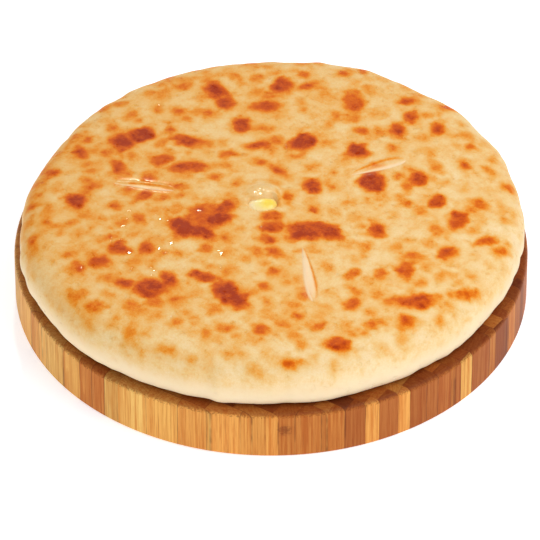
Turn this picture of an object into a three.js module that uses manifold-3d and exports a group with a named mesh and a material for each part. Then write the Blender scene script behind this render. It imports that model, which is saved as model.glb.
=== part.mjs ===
// A round filled pie on a round end-grain chopping board.
//
// Millimetres, +Z up.  The origin is the centre of the board's underside.
// The board is a row of glued wooden strips that run along X.  Each strip is
// a solid of its own, cut from one rounded disc.  The pie is one baked piece
// with three slits and a small vent in the middle, and a little melted
// cheese filling shows in the vent.

import * as THREE from 'three';
import { mergeVertices } from 'three/addons/utils/BufferGeometryUtils.js';
import Module from 'manifold-3d';

const wasm = await Module();
wasm.setup();

// ---- Driving dimensions -------------------------------------------------

const BOARD_RADIUS = 170;
const BOARD_THICKNESS = 35;
const BOARD_TOP_ROUNDING = 3.3;
const BOARD_FOOT_CHAMFER = 0.6;
const BOARD_SEGMENTS = 120;
const STRIP_WIDTH = 20;

const PIE_RADIUS = 166;         // mean radius at the widest height of the edge
const PIE_HEIGHT = 37;          // at the middle
const PIE_SEGMENTS = 96;
const PIE_TURN = 33;            // degrees between the pie's own X and the strips

// The pie isn't quite round: it is longer along one diameter.
const OVAL_AMPLITUDE = 2.2;
const OVAL_DIRECTION = 32;      // degrees, the long diameter

// Hand-shaping left a few wide swellings and hollows in the outline.
// [direction in degrees, height in mm, half-width in degrees]
const OUTLINE_SWELLINGS = [
  [70, 2.4, 14],
  [54, -2.2, 8],
  [40, 1, 6],
  [14, -1.5, 8],
  [158, -3.4, 26],
  [242, -0.9, 14],
];

const VENT_RADIUS = 11;
const VENT_DEPTH = 6;
const VENT_PLACE = [-5.5, -1];  // from the pie's middle
const CHEESE_GAP = 0.4;         // clearance between the cheese and the dough

const SLIT_DEPTH = 4;
// [x and y of the middle, turn in degrees, length, width]
const SLITS = [
  [-84, 17, -12, 40, 5],
  [71, 37, 24, 40, 9],
  [24, -73, -83, 52, 7.5],
];

const DOUGH_COLOUR = 0xe2b86f;
const CHEESE_COLOUR = 0xf6d25a;
const WOOD_COLOURS = [0xc98346, 0xdba763, 0xa95f2f, 0xd4934f, 0xe0b273, 0xb9713b];

// ---- Helpers ------------------------------------------------------------

const rad = THREE.MathUtils.degToRad;

/** A closed three.js geometry as a manifold solid. */
function solidOf(geometry) {
  const bare = geometry.clone();
  bare.deleteAttribute('normal');
  bare.deleteAttribute('uv');
  const welded = mergeVertices(bare, 1e-4);
  return new wasm.Manifold(new wasm.Mesh({
    numProp: 3,
    vertProperties: new Float32Array(welded.attributes.position.array),
    triVerts: new Uint32Array(welded.index.array),
  }));
}

/** A manifold solid as a three.js geometry. */
function geometryOf(solid) {
  const mesh = solid.getMesh();
  const geometry = new THREE.BufferGeometry();
  geometry.setAttribute('position', new THREE.BufferAttribute(mesh.vertProperties, 3));
  geometry.setIndex(new THREE.BufferAttribute(mesh.triVerts, 1));
  geometry.computeVertexNormals();
  return geometry;
}

/** A lathe about Z from [radius, height] pairs that start and end on the axis. */
function turned(profile, segments) {
  const points = profile.map(([radius, height]) => new THREE.Vector2(radius, height));
  const geometry = new THREE.LatheGeometry(points, segments);
  geometry.rotateX(Math.PI / 2);
  return geometry;
}

/** A bump that is 1 at zero and fades to nothing at about twice its width. */
function bell(distance, width) {
  return Math.exp(-((distance / width) ** 2));
}

function material(colour, roughness) {
  return new THREE.MeshStandardMaterial({ color: colour, roughness, metalness: 0 });
}

// ---- Board --------------------------------------------------------------

function boardDisc() {
  const side = BOARD_RADIUS - BOARD_TOP_ROUNDING;
  const shoulder = BOARD_THICKNESS - BOARD_TOP_ROUNDING;
  const profile = [
    [0, 0],
    [BOARD_RADIUS - BOARD_FOOT_CHAMFER, 0],
    [BOARD_RADIUS, BOARD_FOOT_CHAMFER],
  ];
  const roundingSteps = 4;
  for (let step = 0; step <= roundingSteps; step += 1) {
    const angle = (Math.PI / 2) * (step / roundingSteps);
    profile.push([
      side + BOARD_TOP_ROUNDING * Math.cos(angle),
      shoulder + BOARD_TOP_ROUNDING * Math.sin(angle),
    ]);
  }
  profile.push([0, BOARD_THICKNESS]);
  return solidOf(turned(profile, BOARD_SEGMENTS));
}

/** The strips run along X, side by side from -Y to +Y. */
function addBoard(group) {
  const disc = boardDisc();
  const half = Math.ceil(BOARD_RADIUS / STRIP_WIDTH);
  const length = 4 * BOARD_RADIUS;
  for (let index = 0; index < 2 * half; index += 1) {
    const middle = (index - half + 0.5) * STRIP_WIDTH;
    const slice = new THREE.BoxGeometry(length, STRIP_WIDTH, length);
    slice.translate(0, middle, 0);
    const strip = disc.intersect(solidOf(slice));
    const mesh = new THREE.Mesh(
      geometryOf(strip),
      material(WOOD_COLOURS[index % WOOD_COLOURS.length], 0.55),
    );
    mesh.name = `board_strip_${String(index + 1).padStart(2, '0')}`;
    group.add(mesh);
  }
}

// ---- Pie ----------------------------------------------------------------

/** The pie's radius at its widest height, by direction in radians. */
function outlineRadius(direction) {
  const oval = OVAL_AMPLITUDE * Math.cos(2 * (direction - rad(OVAL_DIRECTION)));
  let radius = PIE_RADIUS + oval;
  for (const [where, height, width] of OUTLINE_SWELLINGS) {
    const around = THREE.MathUtils.euclideanModulo(direction - rad(where) + Math.PI, 2 * Math.PI);
    radius += height * bell(around - Math.PI, rad(width));
  }
  return radius;
}

/** Half of the pie's section, from the middle of its underside over the edge. */
function pieProfile() {
  const r = PIE_RADIUS;
  const h = PIE_HEIGHT;
  return [
    [0, 0],
    [r - 11, 0],
    [r - 4.5, 1.8],
    [r - 1.2, 6],
    [r, 11.5],
    [r - 0.4, 18.5],
    [r - 2.4, 24.5],
    [r - 7, h - 7.6],
    [r - 15, h - 4.4],
    [r - 28, h - 2.9],
    [r * 0.66, h - 1.6],
    [r * 0.42, h - 0.6],
    [r * 0.2, h - 0.2],
    [0, h],
  ];
}

function pieBlank() {
  const geometry = turned(pieProfile(), PIE_SEGMENTS);
  const position = geometry.attributes.position;
  for (let index = 0; index < position.count; index += 1) {
    const x = position.getX(index);
    const y = position.getY(index);
    const stretch = outlineRadius(Math.atan2(y, x)) / PIE_RADIUS;
    position.setXY(index, x * stretch, y * stretch);
  }
  return solidOf(geometry);
}

/** A pointed slit, wide in the middle, cut down from the pie's top. */
function slitCutter([x, y, turn, length, width]) {
  const shape = new THREE.Shape();
  shape.moveTo(-length / 2, 0);
  shape.quadraticCurveTo(0, -width, length / 2, 0);
  shape.quadraticCurveTo(0, width, -length / 2, 0);
  const geometry = new THREE.ExtrudeGeometry(shape, {
    depth: 3 * SLIT_DEPTH,
    bevelEnabled: false,
    curveSegments: 8,
  });
  geometry.rotateZ(rad(turn));
  geometry.translate(x, y, PIE_HEIGHT - 1 - SLIT_DEPTH);
  return solidOf(geometry);
}

/** A hollow shaped like the bottom of an egg. */
function hollow(radius, depth) {
  const geometry = new THREE.SphereGeometry(radius, 24, 12);
  geometry.rotateX(Math.PI / 2);
  geometry.scale(1, 1, depth / radius);
  geometry.translate(VENT_PLACE[0], VENT_PLACE[1], PIE_HEIGHT);
  return geometry;
}

/** The cheese fills the lower part of the vent and stays clear of its wall. */
function cheese() {
  const level = new THREE.BoxGeometry(4 * VENT_RADIUS, 4 * VENT_RADIUS, 4 * VENT_RADIUS);
  level.translate(VENT_PLACE[0], VENT_PLACE[1], PIE_HEIGHT - 1.5 - 2 * VENT_RADIUS);
  const blob = hollow(VENT_RADIUS - CHEESE_GAP, VENT_DEPTH - CHEESE_GAP);
  return solidOf(blob).intersect(solidOf(level));
}

function addPie(group) {
  let dough = pieBlank();
  for (const slit of SLITS) {
    dough = dough.subtract(slitCutter(slit));
  }
  dough = dough.subtract(solidOf(hollow(VENT_RADIUS, VENT_DEPTH)));
  const pie = new THREE.Mesh(geometryOf(dough), material(DOUGH_COLOUR, 0.45));
  pie.name = 'pie';
  const filling = new THREE.Mesh(geometryOf(cheese()), material(CHEESE_COLOUR, 0.15));
  filling.name = 'vent_filling';

  const onBoard = new THREE.Group();
  onBoard.position.z = BOARD_THICKNESS;
  onBoard.rotation.z = rad(PIE_TURN);
  onBoard.add(pie, filling);
  group.add(onBoard);
}

// ---- Assembly -----------------------------------------------------------

const pieOnBoard = new THREE.Group();
addBoard(pieOnBoard);
addPie(pieOnBoard);

export default pieOnBoard;
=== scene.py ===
"""A round filled pie on a round end-grain chopping board.

Lengths are in millimetres while a mesh is made, and are turned into metres when it is stored.
The pie is made in its own frame, with its front towards -Y, and is then turned on the board.
"""

import math
import random

import bmesh
import bpy
import numpy as np
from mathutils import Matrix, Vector


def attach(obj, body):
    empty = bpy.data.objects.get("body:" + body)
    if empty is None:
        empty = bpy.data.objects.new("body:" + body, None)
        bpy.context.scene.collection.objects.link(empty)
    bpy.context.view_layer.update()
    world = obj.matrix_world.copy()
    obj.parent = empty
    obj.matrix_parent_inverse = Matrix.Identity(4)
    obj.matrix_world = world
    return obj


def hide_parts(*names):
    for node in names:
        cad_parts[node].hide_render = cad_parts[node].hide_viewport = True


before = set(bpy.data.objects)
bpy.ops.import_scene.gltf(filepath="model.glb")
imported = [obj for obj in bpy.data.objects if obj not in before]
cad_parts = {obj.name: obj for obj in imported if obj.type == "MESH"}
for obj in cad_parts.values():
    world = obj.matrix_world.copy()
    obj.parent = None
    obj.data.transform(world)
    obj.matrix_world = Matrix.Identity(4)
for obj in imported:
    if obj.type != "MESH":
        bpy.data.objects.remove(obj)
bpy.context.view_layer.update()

MM = 0.001

# ---- Driving dimensions, as in the CAD model ----

BOARD_RADIUS = 170.0
BOARD_THICKNESS = 35.0
BOARD_TOP_ROUNDING = 3.3
BOARD_FOOT_CHAMFER = 0.6
STRIP_WIDTH = 20.0
STRIP_COUNT = 18

PIE_RADIUS = 166.0
PIE_HEIGHT = 37.0
PIE_TURN = 33.0
OVAL_AMPLITUDE = 2.2
OVAL_DIRECTION = 32.0

# Wide swellings and hollows of the outline: direction in degrees, height, half-width in degrees.
OUTLINE_SWELLINGS = [
    (70, 2.4, 14),
    (54, -2.2, 8),
    (40, 1.0, 6),
    (14, -1.5, 8),
    (158, -3.4, 26),
    (242, -0.9, 14),
]

VENT_PLACE = (-5.5, -1.0)
VENT_RADIUS = 11.0
VENT_FLATNESS = 0.78
VENT_SINK = 6.5
BUBBLE_HEIGHT = 3.4
# How far behind the vent the bubble's middle lies.
BUBBLE_BACK = 7.0

# The pie's mesh: rings over the top and the side, rings under it, and points in each ring.
TOP_RINGS = 205
UNDER_RINGS = 12
PIE_COLUMNS = 720
# Along the section, the underside begins this far beyond the pie's radius.
UNDERSIDE_START = 24.0

# The camera, in degrees and metres. Its aim is this high over the floor, and this far to its left.
CAMERA_ELEVATION = 40.3
CAMERA_DISTANCE = 4.11
CAMERA_ANGLE = 5.0
AIM_HEIGHT = 0.0133
AIM_ASIDE = 0.0007

# Slits: x and y of the middle, turn in degrees, length, width, how far it gapes (0 to 1).
SLITS = [
    (-84, 17, -12, 40, 5.0, 0.1),
    (71, 37, 24, 40, 9.0, 0.15),
    (24, -73, -83, 52, 7.5, 1.0),
]

# ---- Scorch marks ----

# Large marks, given one by one: x, y, half-length, half-width, turn in degrees, darkness.
BURNS = [
    # Left of the vent, a wide patch with darker lobes.
    (-45, -18, 18, 12, 45, 0.62), (-57, -25, 9, 7, 120, 0.97), (-47, -30, 9, 6, 150, 0.93),
    (-35, -17, 9, 6, 10, 0.93), (-29, -5, 7, 5, 60, 0.95), (-46, -8, 8, 4, 10, 0.85),
    # In front of the vent.
    (27, -30, 15, 9, 0, 0.85), (18, -34, 7, 5, 30, 0.97), (38, -32, 8, 6, 160, 0.93),
    (0, -15, 6, 4, 20, 0.75), (0, -25, 6, 5, 0, 0.9), (-2, -38, 4, 3, 0, 0.85),
    # Front left.
    (-78, -84, 11, 8, 170, 0.93), (-92, -80, 6, 5, 0, 0.8), (-66, -78, 6, 5, 100, 0.9),
    (-28, -92, 12, 8, 120, 0.93), (-44, -74, 8, 5, 160, 0.85), (-21, -98, 8, 6, 100, 0.93),
    (-28, -124, 6, 4, 0, 0.6),
    # Left.
    (-130, 3, 6, 5, 150, 0.9), (-98, -45, 6, 5, 130, 0.85), (-110, -58, 6, 5, 170, 0.8),
    (-80, -44, 5, 4, 100, 0.8), (-120, 18, 5, 4, 60, 0.6), (-104, 40, 8, 4, 110, 0.8),
    (-130, 56, 7, 4, 110, 0.75),
    # Back left.
    (-102, 68, 9, 6, 100, 0.95), (-90, 74, 10, 7, 10, 0.95), (-57, 66, 10, 5, 160, 0.85),
    (-56, 38, 11, 6, 0, 0.8), (-74, 46, 7, 5, 20, 0.75), (-38, 122, 9, 6, 110, 0.9),
    (-30, 108, 7, 6, 110, 0.85), (-20, 84, 7, 5, 90, 0.9), (-28, 52, 5, 3, 30, 0.7),
    # Back right.
    (8, 126, 10, 7, 90, 0.9), (-3, 102, 8, 5, 0, 0.85), (56, 108, 10, 7, 90, 0.75),
    (20, 62, 9, 7, 30, 0.95), (57, 54, 7, 6, 70, 0.95), (-9, 60, 8, 4, 20, 0.85),
    (26, 16, 7, 6, 110, 0.95), (67, 21, 10, 9, 95, 0.97), (4, 34, 8, 3, 125, 0.65),
    (84, 75, 7, 4, 90, 0.85), (110, 78, 6, 4, 90, 0.85), (92, 90, 6, 4, 90, 0.8),
    # Right.
    (98, 25, 6, 5, 80, 0.9), (109, 3, 7, 5, 85, 0.9), (122, -16, 8, 5, 75, 0.85),
    (140, -36, 6, 4, 20, 0.8), (117, -50, 6, 5, 30, 0.85), (69, -29, 6, 6, 10, 0.85),
    # Front right.
    (88, -68, 8, 5, 95, 0.75), (97, -99, 12, 6, 10, 0.9), (88, -118, 6, 5, 60, 0.85),
    (129, -87, 8, 4, 20, 0.75), (53, -102, 5, 4, 90, 0.8), (44, -141, 7, 6, 10, 0.85),
    (12, -156, 6, 4, 0, 0.85), (10, 4, 5, 3, 95, 0.8),
]

# Middling marks and freckles are scattered by a seeded generator.
MIDDLING_COUNT = 120
MIDDLING_GAP = 13.0
MIDDLING_REACH = 160.0
FRECKLE_COUNT = 560
FRECKLE_REACH = 162.0


# ---- Small helpers ----

def linear(red, green, blue):
    """An sRGB colour given as 0 to 255, as the linear RGBA a shader socket takes."""
    def channel(value):
        value /= 255.0
        return value / 12.92 if value <= 0.04045 else ((value + 0.055) / 1.055) ** 2.4
    return (channel(red), channel(green), channel(blue), 1.0)


def smoothstep(low, high, value):
    t = np.clip((value - low) / (high - low), 0.0, 1.0)
    return t * t * (3.0 - 2.0 * t)


def bell(distance, width):
    return np.exp(-((distance / width) ** 2))


def lattice_noise(points, size, seed):
    """Smooth noise from -1 to 1 over points (n, 3), with lumps about size across."""
    table_size = 4096
    table = np.random.default_rng(seed).uniform(-1.0, 1.0, table_size)
    scaled = points / size
    cell = np.floor(scaled).astype(np.int64)
    part = scaled - cell
    part = part * part * (3.0 - 2.0 * part)
    total = np.zeros(len(points))
    for corner in np.ndindex(2, 2, 2):
        place = cell + np.array(corner)
        # Large primes spread neighbouring cells over the table.
        mixed = place[:, 0] * 73856093 ^ place[:, 1] * 19349663 ^ place[:, 2] * 83492791
        weight = np.ones(len(points))
        for axis in range(3):
            weight *= part[:, axis] if corner[axis] else 1.0 - part[:, axis]
        total += weight * table[mixed % table_size]
    return total


def add_object(name, mesh, material, node_names):
    piece = bpy.data.objects.new(name, mesh)
    bpy.context.scene.collection.objects.link(piece)
    mesh.materials.append(material)
    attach(piece, "root")
    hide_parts(*node_names)
    return piece


def grid_mesh(name, points):
    """A mesh from points (rows, columns, 3). Each row is a closed ring."""
    rows, columns = points.shape[:2]
    row = np.arange(rows - 1)[:, None] * columns
    column = np.arange(columns)[None, :]
    after = (column + 1) % columns
    faces = np.stack([row + column, row + columns + column, row + columns + after, row + after], -1)
    mesh = bpy.data.meshes.new(name)
    mesh.from_pydata((points.reshape(-1, 3) * MM).tolist(), [], faces.reshape(-1, 4).tolist())
    return mesh


def store(mesh, name, values):
    attribute = mesh.attributes.new(name, "FLOAT", "POINT")
    attribute.data.foreach_set("value", np.asarray(values, dtype=np.float32).ravel())


# ---- Material helpers ----

class Nodes:
    """Short calls for the nodes of one material."""

    def __init__(self, name):
        self.material = bpy.data.materials.new(name)
        self.material.use_nodes = True
        self.tree = self.material.node_tree
        self.shader = self.tree.nodes["Principled BSDF"]

    def new(self, kind, **settings):
        node = self.tree.nodes.new(kind)
        for key, value in settings.items():
            setattr(node, key, value)
        return node

    def link(self, source, target):
        self.tree.links.new(source, target)

    def put(self, target, value):
        if isinstance(value, bpy.types.NodeSocket):
            self.link(value, target)
        else:
            target.default_value = value

    def attribute(self, name, output="Fac"):
        return self.new("ShaderNodeAttribute", attribute_name=name).outputs[output]

    def math(self, operation, first, second=0.0, third=0.0):
        node = self.new("ShaderNodeMath", operation=operation)
        for socket, value in zip(node.inputs, (first, second, third)):
            self.put(socket, value)
        return node.outputs[0]

    def vector(self, operation, first, second=(0.0, 0.0, 0.0), output=0):
        node = self.new("ShaderNodeVectorMath", operation=operation)
        self.put(node.inputs[0], first)
        self.put(node.inputs[1], second)
        return node.outputs[output]

    def remap(self, value, low, high, to_low=0.0, to_high=1.0):
        node = self.new("ShaderNodeMapRange", interpolation_type="SMOOTHSTEP")
        for socket, number in zip(node.inputs, (value, low, high, to_low, to_high)):
            self.put(socket, number)
        return node.outputs[0]

    def noise(self, place, scale, detail=3.0, roughness=0.55):
        node = self.new("ShaderNodeTexNoise")
        self.put(node.inputs["Vector"], place)
        node.inputs["Scale"].default_value = scale
        node.inputs["Detail"].default_value = detail
        node.inputs["Roughness"].default_value = roughness
        return node.outputs["Fac"]

    def mix(self, share, first, second, blend="MIX"):
        node = self.new("ShaderNodeMix", data_type="RGBA", blend_type=blend)
        self.put(node.inputs[0], share)
        self.put(node.inputs[6], first)
        self.put(node.inputs[7], second)
        return node.outputs[2]

    def ramp(self, value, stops):
        node = self.new("ShaderNodeValToRGB")
        elements = node.color_ramp.elements
        while len(elements) < len(stops):
            elements.new(0.5)
        for element, (position, colour) in zip(elements, stops):
            element.position = position
            element.color = colour
        self.put(node.inputs[0], value)
        return node.outputs[0]

    def bump(self, height, distance, strength=1.0, under=None):
        node = self.new("ShaderNodeBump")
        node.inputs["Strength"].default_value = strength
        node.inputs["Distance"].default_value = distance
        self.put(node.inputs["Height"], height)
        if under is not None:
            self.link(under, node.inputs["Normal"])
        return node.outputs[0]

    def finish(self, colour, roughness, normal):
        self.put(self.shader.inputs["Base Color"], colour)
        self.put(self.shader.inputs["Roughness"], roughness)
        self.put(self.shader.inputs["Normal"], normal)
        return self.material


def object_place(nodes):
    """The place on the object in millimetres."""
    place = nodes.new("ShaderNodeTexCoord").outputs["Object"]
    return nodes.vector("MULTIPLY", place, (1 / MM, 1 / MM, 1 / MM))


# ---- Pie shape ----

def outline_stretch(direction):
    """How much further out than round the outline runs, by direction in radians."""
    radius = PIE_RADIUS + OVAL_AMPLITUDE * np.cos(2 * (direction - math.radians(OVAL_DIRECTION)))
    for where, height, width in OUTLINE_SWELLINGS:
        apart = (direction - math.radians(where) + math.pi) % (2 * math.pi) - math.pi
        radius = radius + height * bell(apart, math.radians(width))
    return radius / PIE_RADIUS


def pie_section():
    """The half section from the middle of the top, over the edge, to the middle of the underside."""
    r, h = PIE_RADIUS, PIE_HEIGHT
    corners = np.array([
        (0.0, h), (r * 0.2, h - 0.2), (r * 0.42, h - 0.6), (r * 0.66, h - 1.6), (r - 28, h - 2.9),
        (r - 15, h - 4.4), (r - 7, h - 7.6), (r - 2.4, 24.5), (r - 0.4, 18.5), (r, 11.5),
        (r - 1.2, 6.0), (r - 4.5, 1.8), (r - 11, 0.0), (r * 0.6, 0.0), (0.0, 0.0),
    ])
    steps = np.hypot(*np.diff(corners, axis=0).T)
    reach = np.concatenate([[0.0], np.cumsum(steps)])
    underside_corner = 12
    top_reach = reach[underside_corner]
    stations = np.concatenate([
        np.linspace(0.4, top_reach, TOP_RINGS),
        np.linspace(top_reach, reach[-1], UNDER_RINGS)[1:-1],
        [reach[-1] - 0.5],
    ])
    section = []
    for station in stations:
        k = int(np.clip(np.searchsorted(reach, station) - 1, 0, len(corners) - 2))
        before = corners[max(k - 1, 0)]
        after = corners[min(k + 2, len(corners) - 1)]
        first, second = corners[k], corners[k + 1]
        span = reach[k + 1] - reach[k]
        t = (station - reach[k]) / span
        back = reach[k + 1] - reach[max(k - 1, 0)]
        ahead = reach[min(k + 2, len(corners) - 1)] - reach[k]
        slope_first = (second - before) / back * span
        slope_second = (after - first) / ahead * span
        # A cubic through both corners, with the slopes above.
        section.append(
            (2 * t ** 3 - 3 * t ** 2 + 1) * first + (t ** 3 - 2 * t ** 2 + t) * slope_first
            + (3 * t ** 2 - 2 * t ** 3) * second + (t ** 3 - t ** 2) * slope_second)
    return np.array(section), stations


def scattered_place(rng, reach):
    away = reach * math.sqrt(rng.random())
    where = rng.uniform(0, 2 * math.pi)
    return away * math.cos(where), away * math.sin(where)


def all_marks():
    """The chosen marks, then the scattered ones: x, y, half-length, half-width, turn, darkness."""
    rng = random.Random(5)
    marks = list(BURNS)
    while len(marks) < len(BURNS) + MIDDLING_COUNT:
        x, y = scattered_place(rng, MIDDLING_REACH)
        if min(math.hypot(x - other[0], y - other[1]) for other in marks) > MIDDLING_GAP:
            length = rng.uniform(3.2, 5.4)
            width = length * rng.uniform(0.55, 0.9)
            marks.append((x, y, length, width, rng.uniform(0, 180), rng.uniform(0.4, 0.75)))
    for _ in range(FRECKLE_COUNT):
        x, y = scattered_place(rng, FRECKLE_REACH)
        width = rng.uniform(1.4, 3.8)
        marks.append((x, y, width * 1.4, width, rng.uniform(0, 180), rng.uniform(0.15, 0.48)))
    return marks


def mark_field(spread):
    """Darkness, warmth and swelling of the scorch marks at places (n, 2) on the unrolled crust."""
    places = np.column_stack([spread, np.zeros(len(spread))])
    wobble = 1.7 * lattice_noise(places, 7.0, 11) + 0.9 * lattice_noise(places, 3.0, 12)
    patchy = 1.0 + 0.16 * lattice_noise(places, 5.5, 13) + 0.10 * lattice_noise(places, 2.6, 14)
    darkness = np.zeros(len(spread))
    warmth = np.zeros(len(spread))
    swelling = np.zeros(len(spread))
    halo_reach = 16.0
    for x, y, length, width, turn, dark in all_marks():
        reach = length + halo_reach
        near = np.flatnonzero((np.abs(spread[:, 0] - x) < reach) & (np.abs(spread[:, 1] - y) < reach))
        dx = spread[near, 0] - x
        dy = spread[near, 1] - y
        c, s = math.cos(math.radians(turn)), math.sin(math.radians(turn))
        apart = np.hypot((dx * c + dy * s) / length, (dy * c - dx * s) / width)
        # Rough distance outside the edge of the mark, negative inside it.
        outside = (apart - 1.0) * width + wobble[near]
        core = dark ** 1.4 * (1.0 - smoothstep(-3.6, 4.0, outside)) * patchy[near]
        darkness[near] = np.maximum(darkness[near], core)
        warmth[near] = np.maximum(warmth[near], dark * bell(np.maximum(outside + 1.0, 0.0), 5.5))
        swelling[near] = np.maximum(swelling[near], dark * bell(apart, 1.0) * min(1.0, width / 5))
    return darkness, warmth, swelling


def slit_shape(x, y, slit):
    """For each place: how far it is inside the slit and on its lips, its distance across in
    millimetres and in half-widths, and 1 at the slit's middle falling to 0 at its ends."""
    middle_x, middle_y, turn, length, width, _ = slit
    c, s = math.cos(math.radians(turn)), math.sin(math.radians(turn))
    along = ((x - middle_x) * c + (y - middle_y) * s) / (length / 2)
    across = (y - middle_y) * c - (x - middle_x) * s
    # A slit is widest past its middle, and tapers slowly the other way.
    taper = np.clip(1.0 + 0.45 * along, 0.0, 2.0)
    open_width = width / 2 * taper * np.sqrt(np.clip(1.0 - along ** 2, 0.0, 1.0)) + 0.01
    inside = 1.0 - smoothstep(0.6, 1.15, np.abs(across) / open_width)
    inside[np.abs(along) > 1.0] = 0.0
    lip = bell(np.abs(across) - open_width - 0.6, 1.5) * (1.0 - smoothstep(0.8, 1.15, np.abs(along)))
    ends = np.sqrt(np.clip(1.0 - along ** 2, 0.0, 1.0))
    return inside, lip, across, across / open_width, ends


def on_board(points):
    """Turns points in the pie's own frame and lifts them onto the board."""
    c, s = math.cos(math.radians(PIE_TURN)), math.sin(math.radians(PIE_TURN))
    x, y, z = points[..., 0], points[..., 1], points[..., 2]
    return np.stack([x * c - y * s, x * s + y * c, z + BOARD_THICKNESS], -1)


def smooth_pie(section, direction):
    """The points of the pie before its crust is uneven, and the way out from the dough at each."""
    stretch = outline_stretch(direction)
    radius = section[:, 0][:, None] * stretch[None, :]
    height = np.repeat(section[:, 1][:, None], len(direction), 1)
    points = np.stack([radius * np.cos(direction), radius * np.sin(direction), height], -1)

    slope = np.gradient(section, axis=0)
    normal = np.stack([-slope[:, 1], slope[:, 0]], -1)
    normal /= np.linalg.norm(normal, axis=1)[:, None] + 1e-9
    sideways, upward = normal[:, 0][:, None], normal[:, 1][:, None]
    outward = np.stack([
        sideways * np.cos(direction),
        sideways * np.sin(direction),
        np.repeat(upward, len(direction), 1),
    ], -1)
    return points, outward


def uneven_dough(flat, stations, direction):
    """Lumps all over, and ripples round the rim."""
    lumps = 0.55 * lattice_noise(flat, 46, 1) + 0.40 * lattice_noise(flat, 24, 2)
    lumps += 0.18 * lattice_noise(flat, 11, 3) + 0.05 * lattice_noise(flat, 4, 4)
    rim = smoothstep(PIE_RADIUS - 16, PIE_RADIUS + 4, stations)[:, None]
    around = np.stack([90 * np.cos(direction), 90 * np.sin(direction), 0 * direction], -1)
    ripple = 0.9 * lattice_noise(around, 9, 21) + 0.6 * lattice_noise(around, 4.5, 22)
    return lumps.reshape(len(stations), len(direction)) + rim * ripple[None, :]


def cut_slits(crust, x, y, top):
    """Sinks each slit a little, raises its lips, and lays pale torn dough and butter along it."""
    for slit in SLITS:
        gape = slit[-1]
        inside, lip, aside, across, ends = slit_shape(x, y, slit)
        inside, lip, ends = inside * top, lip * top, ends * top
        far_lip = lip * (across > 0)
        # The crust folds along the far edge, and the near edge is torn.
        fold = ends * bell(across - 0.95, 0.24)
        torn = inside * bell(across + 0.55, 0.45)
        # Where a slit gapes, the dough bulges out of it.
        bulge = gape * (1.5 * np.sqrt(np.clip(1.0 - across ** 2, 0.0, 1.0)) - 0.3)
        buttery = ends * bell(aside - 4.5, 3.5)
        crust["rise"] += (bulge - 0.5) * inside - 0.4 * fold
        crust["rise"] += (1 - 0.7 * gape) * (0.35 * lip + 0.3 * far_lip)
        crust["rise"] += 0.05 * (1 - gape) * buttery
        fading = 1.0 - 0.3 * np.minimum(across ** 2, 1.0)
        bare = np.maximum(gape * inside * ends * fading, torn)
        crust["pale"] = np.maximum(crust["pale"], np.maximum(bare, 0.1 * lip) * (1 - fold))
        glazed = np.maximum(np.maximum(0.6 * inside, lip), buttery) * (1 - gape)
        crust["wet"] = np.maximum(crust["wet"], glazed)
        crust["crease"] = np.maximum(crust["crease"], fold)


def open_vent(crust, x, y, top):
    """Lifts the crust behind the vent into a bubble, which opens at its front. Returns the bubble and
    the brown arc at its right."""
    dx, dy = x - VENT_PLACE[0], y - VENT_PLACE[1]
    bubble = bell(np.maximum(np.hypot(dx, (dy - BUBBLE_BACK) * 1.1) - 5.0, 0.0), 8.5) * top
    from_middle = np.hypot(dx, dy / VENT_FLATNESS)
    bowl = (1.0 - smoothstep(VENT_RADIUS - 2.5, VENT_RADIUS, from_middle)) * top
    # Only the front of the bowl is open. Its back edge is higher towards the right.
    bowl = bowl * (1.0 - smoothstep(1.0, 5.0, dy - 0.30 * dx - 0.03 * dx ** 2))
    leaning = 0.065 * dx + 0.037 * (dy - BUBBLE_BACK)
    lifted = (BUBBLE_HEIGHT + leaning) * bubble
    crust["rise"] = crust["rise"] * (1 - 0.8 * bubble) + lifted - VENT_SINK * bowl
    crust["pale"] = np.maximum(crust["pale"], 0.35 * bowl)
    glazed = smoothstep(0.2, 0.9, bubble) * (1.0 - smoothstep(3.0, 11.0, dx))
    crust["wet"] = np.maximum(crust["wet"], np.maximum(0.4 * bowl, glazed))
    # The thin crust has turned brown where it folds down at the right of the opening.
    arc = bell(np.hypot(dx, dy - 3.0) - 11.0, 2.2) * smoothstep(5.0, 10.0, dx) * top
    crust["crease"] = np.maximum(crust["crease"], 0.5 * arc)
    return bubble, arc


def oven_browning_and_painted_light(x, y, stations, direction):
    """How much the oven has coloured each place between the marks, from 0 to 1, with painted shade
    towards the left, away from the key light, and painted light on the front of the rim.
    """
    share = np.clip(stations / PIE_RADIUS, 0, 1)[:, None]
    # Painted shade: between the marks the crust is darker towards the left, away from the key light,
    # and paler towards the right.
    toward_painted_shade = -np.cos(direction - math.radians(-15))[None, :]
    near_rim = smoothstep(0.75, 0.95, stations / PIE_RADIUS)[:, None]
    # Painted light: the front of the rim, towards the camera, is paler.
    painted_lit_front = near_rim * np.clip(0.2 - np.sin(direction), 0, 1)
    # Steam from the vent has kept the crust round it paler.
    dx, dy = x - VENT_PLACE[0], y - VENT_PLACE[1]
    steamed = bell(np.maximum(np.hypot(dx, dy - 4.0) - 9.0, 0.0), 9.0)
    browning_and_painted_light = 0.78 + 0.42 * toward_painted_shade * share
    return np.clip(browning_and_painted_light - 0.5 * painted_lit_front - 0.5 * steamed, 0, 1)


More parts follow.
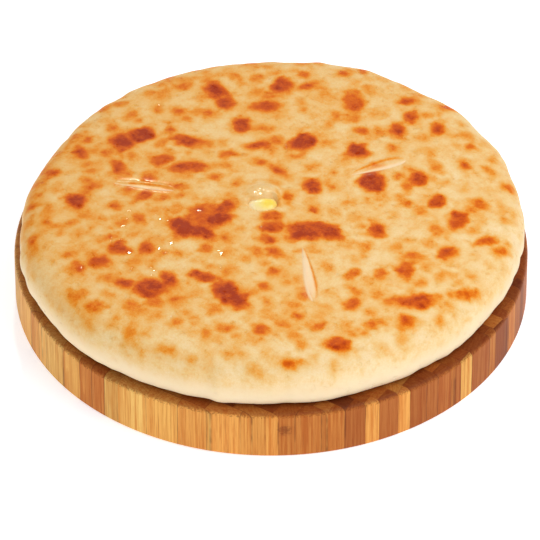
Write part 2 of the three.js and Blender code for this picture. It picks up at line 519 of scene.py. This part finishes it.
def build_pie(material):
    section, stations = pie_section()
    direction = np.linspace(0.0, 2 * math.pi, PIE_COLUMNS, endpoint=False)
    points, outward = smooth_pie(section, direction)
    x, y = points[..., 0], points[..., 1]
    flat = points.reshape(-1, 3)
    shape = x.shape
    top = (stations < PIE_RADIUS)[:, None]

    # The crust unrolled flat, so that marks near the rim don't smear down the side.
    unrolled = stations[:, None]
    spread = np.stack([unrolled * np.cos(direction), unrolled * np.sin(direction)], -1)
    fields = mark_field(spread.reshape(-1, 2))
    darkness, warmth, swelling = (field.reshape(shape) for field in fields)

    crust = {
        "rise": uneven_dough(flat, stations, direction) + 0.55 * swelling,
        "pale": np.zeros(shape),
        "wet": np.zeros(shape),
        "crease": np.zeros(shape),
    }
    cut_slits(crust, x, y, top)
    bubble, arc = open_vent(crust, x, y, top)
    wet = np.minimum(1.2 * crust["wet"], 1.0)
    # Small ripples break up the glints on what is wet.
    rise = crust["rise"] + 0.12 * wet * lattice_noise(flat, 3.2, 31).reshape(shape)
    rise += 0.20 * bubble * lattice_noise(flat, 2.4, 32).reshape(shape)

    above = 1.0 - smoothstep(PIE_RADIUS + 22, PIE_RADIUS + 30, stations)[:, None]
    points = points + outward * (rise * above)[..., None]
    points[..., 2] = np.maximum(points[..., 2], 0.0)
    mesh = grid_mesh("pie_crust", on_board(points))
    close_ends(mesh, PIE_COLUMNS)
    mesh.polygons.foreach_set("use_smooth", [True] * len(mesh.polygons))

    calm = 1.0 - smoothstep(0.2, 0.8, bubble)
    pale = crust["pale"]
    side = smoothstep(PIE_RADIUS + 2, PIE_RADIUS + 17, stations)[:, None]
    store(mesh, "scorch", np.maximum(darkness * (1 - pale) * calm, 0.42 * crust["crease"]))
    store(mesh, "warm", np.maximum(warmth * calm, 0.35 * bubble + 0.4 * arc))
    store(mesh, "pale", pale)
    store(mesh, "wet", wet)
    store(mesh, "side", np.repeat(side, PIE_COLUMNS, 1))
    store(mesh, "browning_and_painted_light", oven_browning_and_painted_light(x, y, stations, direction))
    lay_out(mesh, stations)
    return add_object("pie_crust", mesh, material, ["pie"])


def close_ends(mesh, columns):
    """Fills the small holes in the middle of the top and of the underside."""
    made = bmesh.new()
    made.from_mesh(mesh)
    made.verts.ensure_lookup_table()
    count = len(made.verts)
    made.faces.new([made.verts[k] for k in range(columns)])
    made.faces.new([made.verts[k] for k in range(count - 1, count - columns - 1, -1)])
    made.to_mesh(mesh)
    made.free()


def lay_out(mesh, stations):
    """The texture layout used when the looks are baked: the top fills one square, seen from above,
    and the underside lies in the same square."""
    layout = mesh.uv_layers.new(name="OFBake")
    vertices = np.empty(len(mesh.vertices) * 3)
    mesh.vertices.foreach_get("co", vertices)
    vertices = vertices.reshape(-1, 3) / MM
    corner = np.empty(len(mesh.loops), dtype=np.int64)
    mesh.loops.foreach_get("vertex_index", corner)
    station = stations[corner // PIE_COLUMNS]
    underside = station > PIE_RADIUS + UNDERSIDE_START
    angle = np.arctan2(vertices[corner, 1], vertices[corner, 0])
    away = np.where(underside, stations[-1] - station, station)
    scale = 0.49 / (PIE_RADIUS + UNDERSIDE_START + 2.0)
    u = 0.5 + away * scale * np.cos(angle)
    v = 0.5 + away * scale * np.sin(angle)
    layout.data.foreach_set("uv", np.column_stack([u, v]).astype(np.float32).ravel())


# ---- Dough ----

def dough_material():
    n = Nodes("baked_dough")
    place = object_place(n)
    scorch = n.attribute("scorch")
    warm = n.attribute("warm")
    pale = n.attribute("pale")
    beads = n.remap(n.noise(place, 0.22, 2.0, 0.4), 0.66, 0.72)
    wet = n.math("MAXIMUM", n.attribute("wet"), beads)
    browning_and_painted_light = n.attribute("browning_and_painted_light")
    side = n.attribute("side")

    # How far each place is baked, with the painted shade and painted light of the browning attribute
    # in it: 0 is pale dough, 0.5 orange, 1 dark brown.
    broad = n.remap(n.noise(place, 0.03, 3.0), 0.35, 0.65, 0.0, 0.10)
    mottle = n.remap(n.noise(place, 0.11, 4.0, 0.6), 0.40, 0.72, 0.03, 0.14)
    freckle = n.remap(n.noise(place, 0.17, 2.0, 0.45), 0.52, 0.76, 0.0, 0.09)
    plain = n.math("ADD", n.math("ADD", broad, mottle), freckle)
    plain = n.math("ADD", plain, n.math("MULTIPLY", browning_and_painted_light, 0.17))
    plain = n.math("MULTIPLY", plain, n.math("SUBTRACT", 1.0, n.math("MULTIPLY", side, 0.8)))
    under = n.math("MULTIPLY", plain, n.math("SUBTRACT", 1.0, n.math("MULTIPLY", scorch, 0.6)))
    unscorched = n.math("SUBTRACT", 1.0, scorch)
    halo = n.math("MULTIPLY", n.math("MULTIPLY", warm, 0.18), unscorched)
    grain = n.remap(n.noise(place, 0.22, 5.0, 0.7), 0.30, 0.70, 0.80, 1.0)
    grainy = n.math("MULTIPLY", scorch, grain)
    speckle = n.remap(n.noise(place, 0.9, 4.0, 0.65), 0.35, 0.65, -0.035, 0.035)
    speckle = n.math("MULTIPLY", speckle, n.math("SUBTRACT", 1.0, side))
    baked = n.math("ADD", n.math("ADD", under, halo), n.math("ADD", grainy, speckle))
    crust = n.ramp(baked, [
        (0.0, linear(248, 224, 180)), (0.2, linear(241, 203, 140)), (0.36, linear(238, 178, 94)),
        (0.50, linear(236, 148, 44)), (0.64, linear(226, 112, 12)), (0.80, linear(206, 82, 2)),
        (0.98, linear(168, 50, 0))])
    floury = n.mix(n.math("MULTIPLY", side, 0.45), crust, linear(252, 230, 198))
    opened = n.mix(n.math("MULTIPLY", pale, 0.9), floury, linear(251, 220, 178))

    fine = n.noise(place, 1.3, 3.0)
    dull = n.math("ADD", 0.44, n.math("MULTIPLY", fine, 0.16))
    gloss = n.math("ADD", n.math("MULTIPLY", wet, 0.44), n.math("MULTIPLY", scorch, 0.08))
    shiny = n.math("SUBTRACT", dull, gloss)

    # What is wet is smooth, so that it glints.
    dry = n.math("SUBTRACT", 1.0, wet)
    dimples = n.math("MULTIPLY", n.noise(place, 0.35, 3.0), dry)
    crumbs = n.math("MULTIPLY", n.noise(place, 1.6, 4.0, 0.6), dry)
    dimpled = n.bump(dimples, 0.7 * MM, 0.5)
    crumbed = n.bump(crumbs, 0.25 * MM, 0.5, dimpled)
    n.shader.inputs["Subsurface Weight"].default_value = 0.08
    n.shader.inputs["Subsurface Radius"].default_value = (1.0, 0.45, 0.2)
    n.shader.inputs["Subsurface Scale"].default_value = 2.5 * MM
    n.shader.inputs["Specular IOR Level"].default_value = 0.12
    n.shader.inputs["Specular Tint"].default_value = (1.0, 0.85, 0.60, 1.0)
    return n.finish(opened, shiny, crumbed)


# ---- Cheese in the vent ----

def build_filling(material):
    """A glossy dome of cheese that fills the vent, with its richest colour at the front right."""
    rows, columns = 30, 72
    angle = np.linspace(0.0, 2 * math.pi, columns, endpoint=False)
    share = np.linspace(0.02, 1.0, rows)[:, None]
    radius = (VENT_RADIUS - 0.5) * share
    x = radius * np.cos(angle)
    y = radius * np.sin(angle) * VENT_FLATNESS
    flat = np.stack([x, y, 0 * x], -1).reshape(-1, 3)
    lumps = 0.6 * lattice_noise(flat, 4.5, 17).reshape(rows, columns)
    dome = 4.4 * np.sqrt(np.clip(1.0 - share ** 2.4, 0.0, 1.0)) + lumps * (1.0 - share ** 4)
    z_top = PIE_HEIGHT - 3.4 + dome + 0.12 * y
    z_low = PIE_HEIGHT - 3.8 - 0.8 * (1.0 - share ** 2) + 0.12 * y
    upper = np.stack([x + VENT_PLACE[0], y + VENT_PLACE[1], z_top], -1)
    lower = np.stack([x + VENT_PLACE[0], y + VENT_PLACE[1], z_low], -1)[::-1]
    mesh = grid_mesh("cheese", on_board(np.concatenate([upper, lower])))
    close_ends(mesh, columns)
    mesh.polygons.foreach_set("use_smooth", [True] * len(mesh.polygons))
    rich = bell(np.hypot((x - 4.0) / 1.5, y + 0.5), 4.6)
    store(mesh, "rich", np.concatenate([rich, rich[::-1]]))
    return add_object("melted_cheese", mesh, material, ["vent_filling"])


def cheese_material():
    n = Nodes("melted_cheese")
    place = object_place(n)
    cloud = n.noise(place, 0.25, 3.0)
    rich = n.attribute("rich")
    shade = n.math("ADD", n.math("MULTIPLY", rich, 0.8), n.math("MULTIPLY", cloud, 0.3))
    colour = n.ramp(shade, [
        (0.08, linear(255, 236, 194)), (0.40, linear(255, 230, 150)), (0.85, linear(255, 222, 86))])
    normal = n.bump(n.noise(place, 0.5, 3.0), 0.6 * MM, 0.5)
    roughness = n.math("ADD", 0.12, n.math("MULTIPLY", cloud, 0.12))
    n.shader.inputs["Subsurface Weight"].default_value = 0.2
    n.shader.inputs["Subsurface Radius"].default_value = (1.0, 0.7, 0.25)
    n.shader.inputs["Subsurface Scale"].default_value = 3.0 * MM
    return n.finish(colour, roughness, normal)


# ---- Board ----

# From light honey to dark brown.
WOOD_TONES = [
    (246, 196, 108), (242, 184, 96), (236, 168, 84), (226, 150, 70), (210, 134, 62), (188, 112, 52),
    (152, 84, 40),
]
# The blocks lean towards brown this way, and towards honey the other way. This is partly the blocks'
# own tones and partly painted shade on the board's right side.
BROWN_AND_PAINTED_SHADE_SIDE = math.radians(33)
BOARD_SEED = 184
KNOT_DIRECTION = math.radians(-54)
KNOT_HEIGHT = 22.0
BLOCK_LENGTHS = [6, 9, 11, 13, 16, 19, 22]


def disc_bmesh():
    """The rounded disc of the board, before it is cut into strips."""
    profile = [(BOARD_RADIUS - BOARD_FOOT_CHAMFER, 0.0), (BOARD_RADIUS, BOARD_FOOT_CHAMFER)]
    shoulder = BOARD_THICKNESS - BOARD_TOP_ROUNDING
    rounding_steps = 7
    for step in range(rounding_steps + 1):
        angle = math.pi / 2 * step / rounding_steps
        profile.append((
            BOARD_RADIUS - BOARD_TOP_ROUNDING + BOARD_TOP_ROUNDING * math.cos(angle),
            shoulder + BOARD_TOP_ROUNDING * math.sin(angle)))
    made = bmesh.new()
    segments = 360
    rings = []
    for radius, height in profile:
        rings.append([
            made.verts.new((
                radius * math.cos(2 * math.pi * k / segments),
                radius * math.sin(2 * math.pi * k / segments),
                height))
            for k in range(segments)])
    for low, high in zip(rings, rings[1:]):
        for k in range(segments):
            after = (k + 1) % segments
            made.faces.new((low[k], low[after], high[after], high[k]))
    made.faces.new(rings[-1])
    made.faces.new(rings[0][::-1])
    return made


def cut(made, place, normal, keep_inside):
    """Cuts with a plane. With keep_inside, what lies beyond it goes and the cut is capped."""
    everything = made.verts[:] + made.edges[:] + made.faces[:]
    result = bmesh.ops.bisect_plane(
        made, geom=everything, dist=1e-4, plane_co=place, plane_no=normal, clear_outer=keep_inside)
    if keep_inside:
        edges = [item for item in result["geom_cut"] if isinstance(item, bmesh.types.BMEdge)]
        bmesh.ops.edgeloop_fill(made, edges=edges)


def block_ends(half_chord, rng):
    """Where the glue lines between the blocks of a row lie along X."""
    ends = [-half_chord - rng.uniform(1, 8)]
    while ends[-1] < half_chord:
        ends.append(ends[-1] + rng.choice(BLOCK_LENGTHS))
    return ends


def row_edges(low, high, rng):
    """A strip is one row of blocks, or two narrower rows."""
    if rng.random() < 0.35:
        return [low, high]
    return [low, low + rng.choice([8, 9, 11, 12]), high]


def build_strip(index, disc, material, rng):
    low = (index - STRIP_COUNT / 2) * STRIP_WIDTH
    high = low + STRIP_WIDTH
    made = disc.copy()
    if high < BOARD_RADIUS:
        cut(made, (0, high, 0), (0, 1, 0), True)
    if low > -BOARD_RADIUS:
        cut(made, (0, low, 0), (0, -1, 0), True)
    nearest = min(abs(low), abs(high))
    half_chord = math.sqrt(BOARD_RADIUS ** 2 - nearest ** 2)

    edges = row_edges(low, high, rng)
    rows = []
    for start, end in zip(edges, edges[1:]):
        if low < start:
            cut(made, (0, start, 0), (0, 1, 0), False)
        ends = block_ends(half_chord, rng)
        blocks = [block_of(first, last, start, end, rng) for first, last in zip(ends, ends[1:])]
        rows.append((start, end, blocks))
    for joint in sorted({block["end"] for row in rows for block in row[2]}):
        if abs(joint) < half_chord - 0.5:
            cut(made, (joint, 0, 0), (1, 0, 0), False)
    paint_blocks(made, rows)

    for vertex in made.verts:
        vertex.co *= MM
    name = f"end_grain_strip_{index + 1:02d}"
    mesh = bpy.data.meshes.new(name)
    made.to_mesh(mesh)
    made.free()
    mesh.polygons.foreach_set("use_smooth", [True] * len(mesh.polygons))
    mesh.set_sharp_from_angle(angle=math.radians(30))
    add_object(name, mesh, material, [f"board_strip_{index + 1:02d}"])


def block_of(start, end, low, high, rng):
    """One block: where it ends along X, its colour, its extent and the middle of its growth rings."""
    shade = rng.uniform(0.86, 1.06)
    middle = ((start + end) / 2, (low + high) / 2)
    # Blocks towards the right are picked browner, partly as painted shade.
    lean = (middle[0] * math.cos(BROWN_AND_PAINTED_SHADE_SIDE) + middle[1] * math.sin(BROWN_AND_PAINTED_SHADE_SIDE)) / BOARD_RADIUS
    pick = round(rng.gauss(2.8 + 2.8 * lean, 1.7))
    red, green, blue, _ = linear(*WOOD_TONES[max(0, min(pick, len(WOOD_TONES) - 1))])
    way = rng.uniform(0, 2 * math.pi)
    far = rng.uniform(20, 110)
    return {
        "end": end,
        "tone": (red * shade, green * shade, blue * shade, 1.0),
        "along": Vector((middle[0], (end - start) / 2, 0.0)),
        "across": Vector((middle[1], (high - low) / 2, 0.0)),
        "pith": Vector((
            middle[0] + far * math.cos(way), middle[1] + far * math.sin(way), rng.uniform(0, 100))),
    }


def paint_blocks(made, rows):
    """Gives every face the colour and the grain of the block it belongs to."""
    tone = made.loops.layers.float_color.new("tone")
    layers = {key: made.loops.layers.float_vector.new(key) for key in ("along", "across", "pith")}
    for face in made.faces:
        place = face.calc_center_median()
        blocks = next(row[2] for row in rows if place.y < row[1] + 1e-3)
        block = next(item for item in blocks if place.x < item["end"] + 1e-3)
        for loop in face.loops:
            loop[tone] = block["tone"]
            for key, layer in layers.items():
                loop[layer] = block[key]


def split(n, vector):
    node = n.new("ShaderNodeSeparateXYZ")
    n.link(vector, node.inputs[0])
    return node.outputs


def gap_to_joint(n, place, middle, half):
    """Distance to the nearest end of a block along one axis."""
    away = n.math("ABSOLUTE", n.math("SUBTRACT", place, middle))
    return n.math("ABSOLUTE", n.math("SUBTRACT", away, half))


def wood_material():
    n = Nodes("end_grain_wood")
    place = object_place(n)
    tone = n.attribute("tone", "Color")
    lengthwise = split(n, n.attribute("along", "Vector"))
    crosswise = split(n, n.attribute("across", "Vector"))
    pith = split(n, n.attribute("pith", "Vector"))
    here = split(n, place)

    # The grain runs up and down, so the pattern changes slowly with height.
    grain_place = n.new("ShaderNodeCombineXYZ")
    n.put(grain_place.inputs[0], n.math("ADD", here[0], pith[2]))
    n.put(grain_place.inputs[1], here[1])
    n.put(grain_place.inputs[2], n.math("MULTIPLY", here[2], 0.03))
    along = grain_place.outputs[0]

    bend = n.math("MULTIPLY", n.math("SUBTRACT", n.noise(along, 0.07, 2.0), 0.5), 9.0)
    dx = n.math("SUBTRACT", here[0], pith[0])
    dy = n.math("SUBTRACT", here[1], pith[1])
    away = n.math("SQRT", n.math("ADD", n.math("MULTIPLY", dx, dx), n.math("MULTIPLY", dy, dy)))
    ring = n.math("FRACT", n.math("DIVIDE", n.math("ADD", away, bend), 2.4))
    late_wood = n.remap(ring, 0.40, 0.95)
    streak = n.noise(along, 0.32, 5.0, 0.7)
    hair = n.noise(along, 1.1, 4.0, 0.7)

    def tinted(red, green, blue):
        return n.mix(1.0, tone, linear(red, green, blue), "MULTIPLY")

    ringed = n.mix(n.math("MULTIPLY", late_wood, 0.45), tone, tinted(222, 184, 150))
    streaked = n.mix(n.remap(streak, 0.44, 0.66, 0.0, 0.7), ringed, tinted(222, 176, 136))
    haired = n.mix(n.remap(hair, 0.46, 0.70, 0.0, 0.6), streaked, tinted(210, 156, 112))

    cells = n.new("ShaderNodeTexVoronoi")
    n.link(along, cells.inputs["Vector"])
    cells.inputs["Scale"].default_value = 0.75
    pore = n.remap(cells.outputs["Distance"], 0.10, 0.26, 1.0, 0.0)
    pored = n.mix(n.math("MULTIPLY", pore, 0.30), haired, linear(140, 70, 28))

    # One block at the front has a small knot in its side.
    knot_x = BOARD_RADIUS * math.cos(KNOT_DIRECTION)
    knot_y = BOARD_RADIUS * math.sin(KNOT_DIRECTION)
    to_knot = n.vector("SUBTRACT", place, (knot_x, knot_y, KNOT_HEIGHT))
    ragged = n.remap(n.noise(place, 0.45, 3.0, 0.6), 0.3, 0.7, -1.6, 1.6)
    from_knot = n.math("ADD", n.vector("LENGTH", to_knot, output="Value"), ragged)
    knotted = n.mix(n.remap(from_knot, 1.0, 5.6, 0.62, 0.0), pored, linear(112, 50, 20))

    # End grain soaks up more oil than the sides, so it is darker and redder. Part of this darkening
    # of the top is painted shade from the pie above it.
    facing = split(n, n.new("ShaderNodeTexCoord").outputs["Normal"])
    end_grain = n.remap(facing[2], 0.25, 0.95, 0.0, 0.9)
    oiled_and_painted_shade = n.mix(end_grain, knotted, n.mix(1.0, knotted, linear(178, 152, 136), "MULTIPLY"))

    gap = n.math("MINIMUM", gap_to_joint(n, here[0], lengthwise[0], lengthwise[1]),
                 gap_to_joint(n, here[1], crosswise[0], crosswise[1]))
    seam = n.remap(gap, 0.08, 0.50, 1.0, 0.0)
    worn = n.math("MULTIPLY", seam, n.remap(n.noise(place, 0.05, 2.0), 0.38, 0.62, 0.2, 0.9))
    seamed = n.mix(n.math("MULTIPLY", worn, 0.65), oiled_and_painted_shade, linear(98, 42, 16))

    # Sanding has torn the ends of the fibres open along the rounded edge.
    past_side = n.remap(facing[2], 0.02, 0.3)
    before_top = n.remap(facing[2], 0.55, 0.95, 1.0, 0.0)
    rounding = n.math("MULTIPLY", past_side, before_top)
    torn = n.math("MULTIPLY", rounding, n.remap(n.noise(place, 0.9, 3.0, 0.6), 0.50, 0.60))
    stitched = n.mix(n.math("MULTIPLY", torn, 0.55), seamed, linear(112, 52, 20))

    roughness = n.math("ADD", 0.40, n.math("MULTIPLY", streak, 0.22))
    sunk = n.math("ADD", n.math("MULTIPLY", pore, 0.6), seam)
    relief = n.math("SUBTRACT", n.math("MULTIPLY", hair, 0.5), sunk)
    normal = n.bump(relief, 0.18 * MM, 0.4)
    n.shader.inputs["Specular IOR Level"].default_value = 0.12
    return n.finish(stitched, roughness, normal)


def build_board():
    material = wood_material()
    rng = random.Random(BOARD_SEED)
    disc = disc_bmesh()
    for index in range(STRIP_COUNT):
        build_strip(index, disc, material, rng)
    disc.free()


# ---- Studio ----

def floor_and_light():
    size = 12.0
    corners = [(-size, -size, 0), (size, -size, 0), (size, size, 0), (-size, size, 0)]
    mesh = bpy.data.meshes.new("floor")
    mesh.from_pydata(corners, [], [(0, 1, 2, 3)])
    floor = bpy.data.objects.new("floor", mesh)
    bpy.context.scene.collection.objects.link(floor)
    floor.location.z = -0.3 * MM
    n = Nodes("floor_white")
    n.shader.inputs["Base Color"].default_value = (0.80, 0.81, 0.83, 1.0)
    n.shader.inputs["Roughness"].default_value = 0.9
    n.shader.inputs["Specular IOR Level"].default_value = 0.1
    n.shader.inputs["Emission Color"].default_value = (0.93, 0.96, 1.0, 1.0)
    n.shader.inputs["Emission Strength"].default_value = 0.54
    mesh.materials.append(n.material)

    world = bpy.data.worlds.new("studio")
    bpy.context.scene.world = world
    world.use_nodes = True
    background = world.node_tree.nodes["Background"]
    background.inputs[0].default_value = (1.0, 1.0, 1.0, 1.0)
    background.inputs[1].default_value = 0.50

    add_softbox("key", azimuth=55, elevation=54, distance=1.15, size=0.7, power=5.7)
    add_softbox("back", azimuth=187, elevation=44, distance=1.9, size=0.10, power=7.6)
    add_softbox("fill", azimuth=-40, elevation=14, distance=1.9, size=0.9, power=4.0)


def way_to(azimuth, elevation):
    """The way from the board's middle. Azimuth 0 is towards the camera, and 90 is to its right."""
    turn = math.radians(azimuth + PIE_TURN - 90)
    tilt = math.radians(elevation)
    return Vector((
        math.cos(tilt) * math.cos(turn),
        math.cos(tilt) * math.sin(turn),
        math.sin(tilt)))


def add_softbox(name, azimuth, elevation, distance, size, power):
    """A square soft light that faces the board."""
    light = bpy.data.lights.new(name, "AREA")
    light.shape = "SQUARE"
    light.size = size
    light.energy = power
    lamp = bpy.data.objects.new(name, light)
    bpy.context.scene.collection.objects.link(lamp)
    lamp.location = distance * way_to(azimuth, elevation)
    lamp.rotation_euler = (-lamp.location).to_track_quat("-Z", "Y").to_euler()


def camera():
    front = way_to(0, 0)
    aim = Vector((AIM_ASIDE * front.y, -AIM_ASIDE * front.x, AIM_HEIGHT))
    data = bpy.data.cameras.new("camera")
    data.sensor_width = 36.0
    data.angle = math.radians(CAMERA_ANGLE)
    data.clip_end = 60.0
    item = bpy.data.objects.new("camera", data)
    bpy.context.scene.collection.objects.link(item)
    item.location = aim + CAMERA_DISTANCE * way_to(0, CAMERA_ELEVATION)
    item.rotation_euler = (aim - item.location).to_track_quat("-Z", "Y").to_euler()
    bpy.context.scene.camera = item
    bpy.context.scene.view_settings.view_transform = "Standard"


camera()
floor_and_light()
build_board()
build_pie(dough_material())
build_filling(cheese_material())
